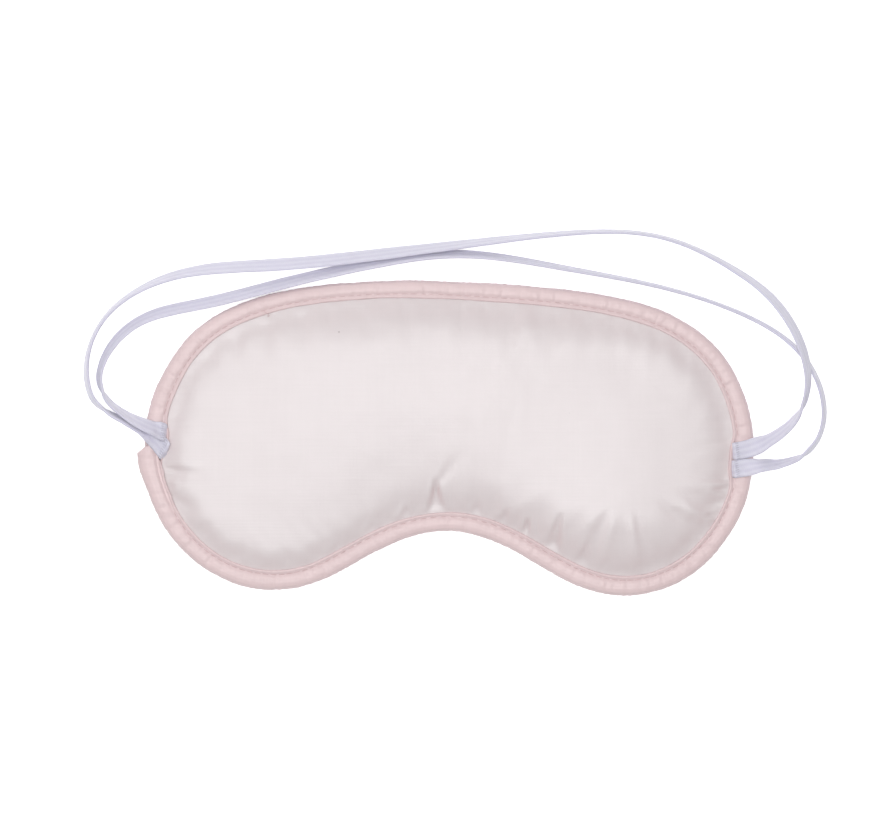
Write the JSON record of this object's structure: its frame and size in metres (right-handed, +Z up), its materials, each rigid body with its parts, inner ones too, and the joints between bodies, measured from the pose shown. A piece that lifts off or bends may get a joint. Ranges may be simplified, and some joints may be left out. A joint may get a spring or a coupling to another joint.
{
  "type": "sleep eye mask",
  "caption": "Padded satin sleep mask with a nose notch, folded edge binding and two sewn elastic head bands.",
  "frame": {"origin": "middle of the flat underside, on the surface the mask lies on", "axes": "+X across the eyes, +Y towards the brow edge, +Z up out of the side the bands are sewn to"},
  "size_m": [0.25, 0.1224, 0.0099],
  "materials": {
    "satin": "shiny woven satin, pale blush",
    "binding_satin": "folded satin bias tape, a shade pinker",
    "lining": "matt black non-woven",
    "wadding": "soft white fibre fill",
    "elastic": "ribbed braided elastic, lavender white",
    "thread": "spun polyester thread, pink",
    "tack_thread": "spun polyester thread, lavender white"
  },
  "bodies": {
    "mask": {"front_panel": "satin", "back_panel": "satin", "blackout_lining": "lining", "wadding": "wadding", "edge_binding": "binding_satin", "binding_stitch_front": "thread", "binding_stitch_back": "thread", "left_bar_tack": "tack_thread", "right_bar_tack": "tack_thread", "upper_band_ends": "elastic", "lower_band_ends": "elastic"},
    "upper_loop": {"upper_band": "elastic"},
    "lower_loop": {"lower_band": "elastic"}
  },
  "joints": [
    {"name": "upper_band_swing", "type": "hinge", "parent": "mask", "child": "upper_loop", "pos_m": [0.0002, -0.00485, 0.0044], "axis": [0.9994, -0.0337, 0], "range_deg": [0, 165]},
    {"name": "lower_band_swing", "type": "hinge", "parent": "mask", "child": "lower_loop", "pos_m": [0.0002, -0.00485, 0.0044], "axis": [0.9994, -0.0337, 0], "range_deg": [0, 165]}
  ]
}
